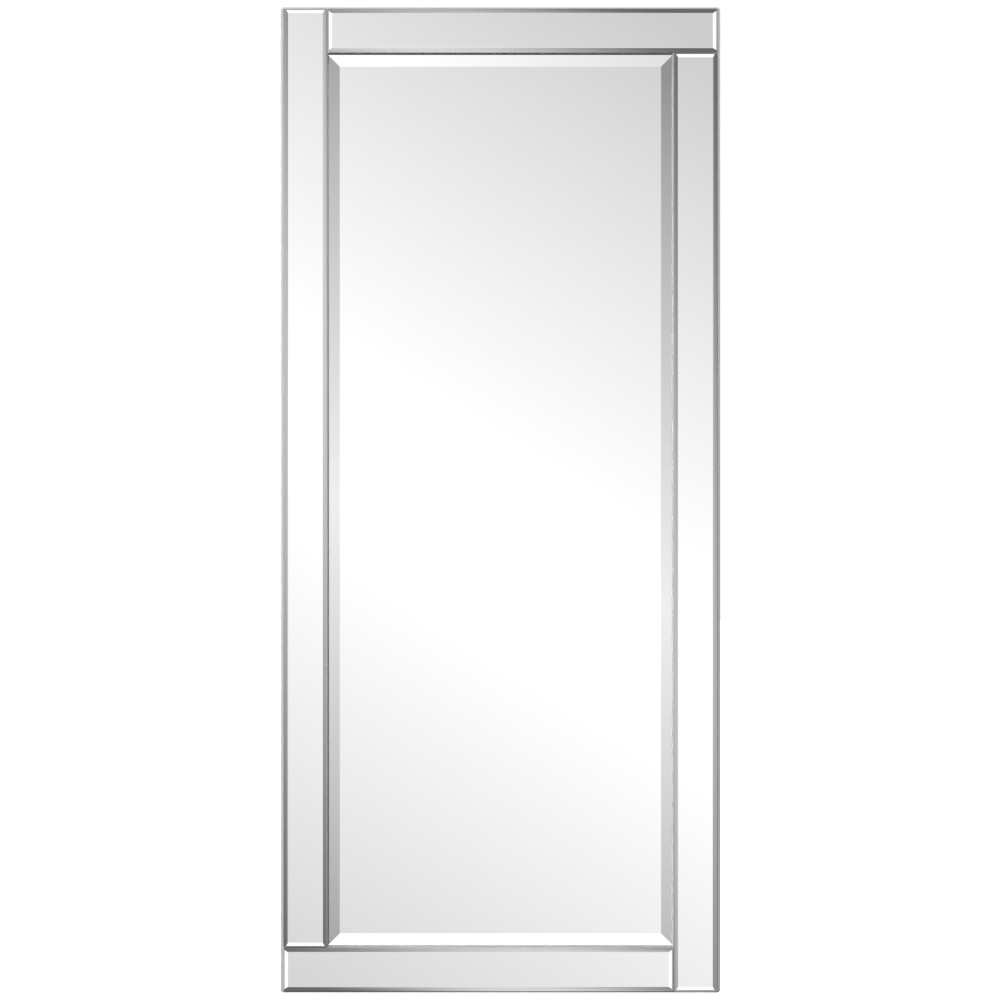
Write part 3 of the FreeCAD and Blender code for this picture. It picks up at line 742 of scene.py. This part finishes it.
def ground_plate(shape, name, glass):
    """A plate with a crowned bevel along each side, of the widths and depths that are measured off its CAD
    node. It is a stack of level rings, so bevels of unlike depths meet in true mitres. The shallower bevels
    roll down to their edge, as the polishing wheel leaves the ends of a strip."""
    near = 0.01 * MM
    least_corner = 0.02 * MM
    roll_steps = 6
    crisp_angle = 20
    # Levels are rounded to this many decimals, so that equal ones fall together
    decimals = 8

    low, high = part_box(name)
    places = [NODES[name].matrix_world @ vert.co for vert in NODES[name].data.vertices]
    left_edge = [place for place in places if place.x - low.x < near]
    lower_edge = [place for place in places if place.z - low.z < near]
    width = min(place.x for place in places if place.y - low.y < near) - low.x
    across_depth = min(place.y for place in left_edge) - low.y
    along_depth = min(place.y for place in lower_edge) - low.y
    cut = min(place.z for place in left_edge) - low.z
    deepest = max(across_depth, along_depth)
    shallow = min(across_depth, along_depth)
    crown = glass.pane_crown if name == PANE else glass.strip_crown
    soft = glass.arris / width
    straight = 1 - crown

    def fall(share):
        """How far the bevel has fallen, as a share of its depth, at a share of its width."""
        if share < soft:
            return straight * (share + soft) ** 2 / (4 * soft)
        return straight * share + crown * share ** 2

    # Where a rolled end begins, and how fast it steepens from there
    roll_share = 1 - glass.roll / width
    roll_level = shallow * fall(roll_share)
    roll_start = shallow / width * (straight + 2 * crown * roll_share)
    roll_rate = (glass.roll_slope - roll_start) / (2 * glass.roll)

    def inset(level, depth):
        """How far inside the plate's edge a bevel of some depth reaches a level."""
        if depth < deepest and level > roll_level:
            rolled = math.sqrt(roll_start ** 2 + 4 * roll_rate * (level - roll_level)) - roll_start
            return max(0.0, glass.roll - rolled / (2 * roll_rate))
        fallen = min(level / depth, 1.0)
        if fallen < straight * soft:
            return width * (1 + soft - 2 * math.sqrt(soft * fallen / straight))
        return width * (1 - (math.sqrt(straight ** 2 + 4 * crown * fallen) - straight) / (2 * crown))

    def ring(across, along, level):
        """A level ring with cut corners, inset from the plate's edges."""
        corner = max(least_corner, cut - across - along)
        left, right = low.x + across, high.x - across
        bottom, top = low.z + along, high.z - along
        outline = [
            (left + corner, bottom), (right - corner, bottom),
            (right, bottom + corner), (right, top - corner),
            (right - corner, top), (left + corner, top),
            (left, top - corner), (left, bottom + corner)]
        return [shape.verts.new((x, low.y + level, z)) for x, z in outline]

    shares = (-soft, -soft / 2, 0.0, soft / 2, soft, 0.2, 0.4, 0.6, 0.8, 1.0)
    levels = {round(deepest * fall(share), decimals) for share in shares}
    if shallow < deepest:
        steps = [glass.roll * i / roll_steps for i in range(roll_steps + 1)]
        levels |= {round(roll_level + roll_start * step + roll_rate * step ** 2, decimals) for step in steps}
    loops = [ring(inset(level, across_depth), inset(level, along_depth), level) for level in sorted(levels)]
    loops.append(ring(0.0, 0.0, high.y - low.y))
    for first, second in zip(loops, loops[1:]):
        bridge(shape, first, second)
    shape.faces.new(loops[0])
    shape.faces.new(loops[-1])
    # Mitres, the outline of the flat and the plate's edges are crisp
    shape.normal_update()
    row = {vert: i for i, loop in enumerate(loops) for vert in loop}
    for edge in shape.edges:
        first, second = (row[vert] for vert in edge.verts)
        edge.smooth = first == second > 0 and edge.calc_face_angle() < math.radians(crisp_angle)


# Settings

class MirrorGlassSettings(bpy.types.PropertyGroup):
    """Finish of the bevelled glass."""
    arris: FloatProperty(
        name="Arris", description="Half the width of the rounded arris between a flat and its bevel",
        default=0.15 * MM, min=0.01 * MM, unit="LENGTH")
    strip_crown: FloatProperty(
        name="Strip crown", description="Share by which the strips' bevels steepen towards their edge",
        default=0.05, min=0.01, max=0.6, subtype="FACTOR")
    pane_crown: FloatProperty(
        name="Pane crown", description="Share by which the pane's bevels steepen towards their edge",
        default=0.03, min=0.01, max=0.6, subtype="FACTOR")
    roll: FloatProperty(
        name="Rolled end", description="Width over which the strips' end bevels roll down to their edge",
        default=1.8 * MM, min=0.1 * MM, unit="LENGTH")
    roll_slope: FloatProperty(
        name="Rolled slope", description="Slope of a rolled end at its edge", default=0.75, min=0.5, max=2.0)
    silver_colour: FloatVectorProperty(
        name="Silver", description="Tint of the silvered face", subtype="COLOR", size=3,
        default=linear("F4F4F4")[:3], min=0.0, max=1.0)
    edge_colour: FloatVectorProperty(
        name="Seamed edge", description="Colour of the seamed edge of the glass", subtype="COLOR", size=3,
        default=linear("989E9C")[:3], min=0.0, max=1.0)


class MirrorWoodSettings(bpy.types.PropertyGroup):
    """Finish of the wooden frame."""
    silver_colour: FloatVectorProperty(
        name="Silver paint", description="Colour of the sprayed front and edges", subtype="COLOR", size=3,
        default=linear("A0A0A0")[:3], min=0.0, max=1.0)
    pale_colour: FloatVectorProperty(
        name="Early wood", description="Pale colour of the bare pine", subtype="COLOR", size=3,
        default=linear("CDB38B")[:3], min=0.0, max=1.0)
    dark_colour: FloatVectorProperty(
        name="Late wood", description="Dark colour of the growth rings", subtype="COLOR", size=3,
        default=linear("A9855C")[:3], min=0.0, max=1.0)
    overspray: FloatProperty(
        name="Overspray", description="How far the silver mist drifts onto the back",
        default=6 * MM, min=0.1 * MM, unit="LENGTH")
    arris: FloatProperty(
        name="Sanded arris", description="Rounding of the members' sharp edges",
        default=0.4 * MM, min=0.0, unit="LENGTH")


class MirrorBackingSettings(bpy.types.PropertyGroup):
    """Finish of what lies behind the pane."""
    pale_colour: FloatVectorProperty(
        name="Fibres", description="Pale colour of the board's fibres", subtype="COLOR", size=3,
        default=linear("A98A66")[:3], min=0.0, max=1.0)
    dark_colour: FloatVectorProperty(
        name="Board", description="Dark colour of the board", subtype="COLOR", size=3,
        default=linear("7C5F42")[:3], min=0.0, max=1.0)
    foam_colour: FloatVectorProperty(
        name="Foam", description="Colour of the foam strips and tapes", subtype="COLOR", size=3,
        default=linear("4A4A4C")[:3], min=0.0, max=1.0)
    arris: FloatProperty(
        name="Board arris", description="Rounding of the board's edges",
        default=0.3 * MM, min=0.0, unit="LENGTH")


class MirrorHardwareSettings(bpy.types.PropertyGroup):
    """Finish of the hangers, nails, points and bumpers."""
    zinc_colour: FloatVectorProperty(
        name="Zinc", description="Colour of the zinc plate", subtype="COLOR", size=3,
        default=linear("CDD0D3")[:3], min=0.0, max=1.0)
    rubber_colour: FloatVectorProperty(
        name="Rubber", description="Colour of the rubber", subtype="COLOR", size=3,
        default=linear("222223")[:3], min=0.0, max=1.0)
    turned_sides: IntProperty(
        name="Sides", description="Sides of a turned piece, such as a screw or a bumper", default=48, min=12)
    strap_arris: FloatProperty(
        name="Strap arris", description="Rounding of the straps' tumbled edges",
        default=0.15 * MM, min=0.0, unit="LENGTH")
    wire_rounding: FloatProperty(
        name="Wire rounding", description="Rounding between the facets of the rings' wire",
        default=0.3 * MM, min=0.0, unit="LENGTH")
    point_arris: FloatProperty(
        name="Point arris", description="Rounding of the backing points' edges",
        default=0.1 * MM, min=0.0, unit="LENGTH")


class MirrorStudioSettings(bpy.types.PropertyGroup):
    """Camera, floor and light."""
    focal_length: FloatProperty(
        name="Focal length", description="Focal length of the front camera, in millimetres",
        default=200.0, min=20.0, subtype="UNSIGNED")
    floor_drop: FloatProperty(
        name="Floor drop", description="Height of the mirror's lower edge over the floor",
        default=0.35, min=0.0, unit="LENGTH")
    floor_reach: FloatProperty(
        name="Floor reach", description="Half the side of the floor", default=40.0, min=1.0, unit="LENGTH")
    floor_glow: FloatProperty(
        name="Floor glow", description="Light that the lit sweep gives back by itself", default=0.8, min=0.0)
    backdrop_level: FloatProperty(
        name="Backdrop level", description="Brightness of the white backdrop", default=1.05, min=0.0)
    wall_level: FloatProperty(
        name="Wall level", description="Brightness of the white wall that the mirror faces",
        default=1.16, min=0.0)
    room_level: FloatProperty(
        name="Room level", description="Brightness of the dim room past the wall", default=0.15, min=0.0)
    rear_level: FloatProperty(
        name="Rear level", description="Brightness of the room behind the mirror", default=0.55, min=0.0)


class BevelledMirrorSettings(bpy.types.PropertyGroup):
    """All settings of the mirror."""
    glass: PointerProperty(type=MirrorGlassSettings)
    wood: PointerProperty(type=MirrorWoodSettings)
    backing: PointerProperty(type=MirrorBackingSettings)
    hardware: PointerProperty(type=MirrorHardwareSettings)
    studio: PointerProperty(type=MirrorStudioSettings)


# Operators

class BEVELLEDMIRROR_OT_stage(bpy.types.Operator):
    """Sets the floor, the studio light and the front camera"""
    bl_idname = "bevelled_mirror.stage"
    bl_label = "Studio"

    def execute(self, context):
        studio = context.scene.bevelled_mirror.studio
        context.scene.world = studio_world(studio)
        context.scene.view_settings.view_transform = "Standard"
        shape = bmesh.new()
        bmesh.ops.create_grid(shape, x_segments=1, y_segments=1, size=studio.floor_reach)
        mesh = bpy.data.meshes.new("floor")
        shape.to_mesh(mesh)
        shape.free()
        mesh.materials.append(white_paper_sweep(studio))
        floor = bpy.data.objects.new("floor", mesh)
        floor.location.z = CAD_BOX[0].z - studio.floor_drop
        floor.visible_glossy = False
        context.scene.collection.objects.link(floor)
        soft_light("rear lamp", place=(-2.2, 3.0, 2.4), target=MIDDLE, size=1.6, power=50, mirrored=True)
        soft_light("fill lamp", place=(-0.7, -3.0, 1.1), target=MIDDLE, size=0.6, power=135)
        # The key lamp aims low and leaves the top in shade; the side lamp reaches the upper left sight edge
        soft_light("key lamp", place=(-3.0, -0.6, 0.6), target=(0, 0, -0.2), size=0.9, power=16.5, beam=50)
        soft_light(
            "side lamp", place=(3.0, -0.3, 1.2), target=(LEFT_SIGHT_EDGE, 0, 0.5), size=0.4, power=2.2,
            beam=28)
        photograph_camera(studio)
        return {"FINISHED"}


class BEVELLEDMIRROR_OT_glass(bpy.types.Operator):
    """Finishes the centre pane and the four strips as bevelled mirror"""
    bl_idname = "bevelled_mirror.glass"
    bl_label = "Bevelled glass"

    def execute(self, context):
        glass = context.scene.bevelled_mirror.glass
        mirror = silvered_float_glass(glass)
        for name in STRIPS + [PANE]:
            def make(shape):
                ground_plate(shape, name, glass)

            new_piece(name + "_ground", make, mirror, "silvered_glass", name)
        return {"FINISHED"}


class BEVELLEDMIRROR_OT_frame(bpy.types.Operator):
    """Finishes the stiles and rails as sprayed pine, with the grain along each member"""
    bl_idname = "bevelled_mirror.frame"
    bl_label = "Wooden frame"

    def execute(self, context):
        wood = context.scene.bevelled_mirror.wood
        dress(STILES, sprayed_pine(wood, "Z"))
        dress(RAILS, sprayed_pine(wood, "X"))
        ease_edges(STILES + RAILS, wood.arris, segments=2, angle=30)
        return {"FINISHED"}


class BEVELLEDMIRROR_OT_backing(bpy.types.Operator):
    """Finishes the board, the foam strips and the tapes"""
    bl_idname = "bevelled_mirror.backing"
    bl_label = "Backing"

    def execute(self, context):
        backing = context.scene.bevelled_mirror.backing
        dress(["backing_board"], pressed_fibreboard(backing))
        ease_edges(["backing_board"], backing.arris, segments=2, angle=30)
        dress(TAPES + ["foam_strips"], closed_cell_foam(backing))
        return {"FINISHED"}


class BEVELLEDMIRROR_OT_hardware(bpy.types.Operator):
    """Finishes the hangers, nails and points, and makes the hangers' cross-head screws"""
    bl_idname = "bevelled_mirror.hardware"
    bl_label = "Steel hardware"

    def execute(self, context):
        hardware = context.scene.bevelled_mirror.hardware
        steel = bright_zinc_steel(hardware)
        dress(STRAPS + RINGS + ["corner_nails", "backing_points"], steel)
        ease_edges(STRAPS, hardware.strap_arris, segments=2, angle=40)
        ease_edges(RINGS, hardware.wire_rounding, segments=3, angle=20)
        ease_edges(["backing_points"], hardware.point_arris, segments=2, angle=40)

        def make(shape):
            for low, high in solids_of("hanger_screws"):
                wood_screw(shape, low, high, hardware.turned_sides)

        new_piece("hanger_screws_cross_head", make, steel, "zinc_steel", "hanger_screws", crease=35)
        return {"FINISHED"}


class BEVELLEDMIRROR_OT_rubber(bpy.types.Operator):
    """Makes the turned wall bumpers and finishes the blocks and spacers round the pane"""
    bl_idname = "bevelled_mirror.rubber"
    bl_label = "Rubber pieces"

    def execute(self, context):
        hardware = context.scene.bevelled_mirror.hardware
        rubber = moulded_rubber(hardware)
        dress(["setting_blocks", "side_spacers"], rubber)

        def make(shape):
            for low, high in solids_of("wall_bumpers"):
                wall_bumper(shape, low, high, hardware.turned_sides)

        new_piece("wall_bumpers_moulded", make, rubber, "rubber", "wall_bumpers", crease=35)
        return {"FINISHED"}


class BEVELLEDMIRROR_PT_panel(bpy.types.Panel):
    """Lists the steps that finish the mirror"""
    bl_idname = "BEVELLEDMIRROR_PT_panel"
    bl_label = "Bevelled mirror"
    bl_space_type = "VIEW_3D"
    bl_region_type = "UI"
    bl_category = "Mirror"

    def draw(self, context):
        for operator in OPERATORS:
            self.layout.operator(operator.bl_idname)


OPERATORS = (BEVELLEDMIRROR_OT_stage, BEVELLEDMIRROR_OT_glass, BEVELLEDMIRROR_OT_frame,
             BEVELLEDMIRROR_OT_backing, BEVELLEDMIRROR_OT_hardware, BEVELLEDMIRROR_OT_rubber)
CLASSES = (MirrorGlassSettings, MirrorWoodSettings, MirrorBackingSettings, MirrorHardwareSettings,
           MirrorStudioSettings, BevelledMirrorSettings, *OPERATORS, BEVELLEDMIRROR_PT_panel)


def register():
    for each in CLASSES:
        bpy.utils.register_class(each)
    bpy.types.Scene.bevelled_mirror = PointerProperty(type=BevelledMirrorSettings)


def unregister():
    del bpy.types.Scene.bevelled_mirror
    for each in reversed(CLASSES):
        bpy.utils.unregister_class(each)


def main():
    register()
    bpy.ops.bevelled_mirror.stage()
    bpy.ops.bevelled_mirror.glass()
    bpy.ops.bevelled_mirror.frame()
    bpy.ops.bevelled_mirror.backing()
    bpy.ops.bevelled_mirror.hardware()
    bpy.ops.bevelled_mirror.rubber()


if __name__ == "__main__":
    main()
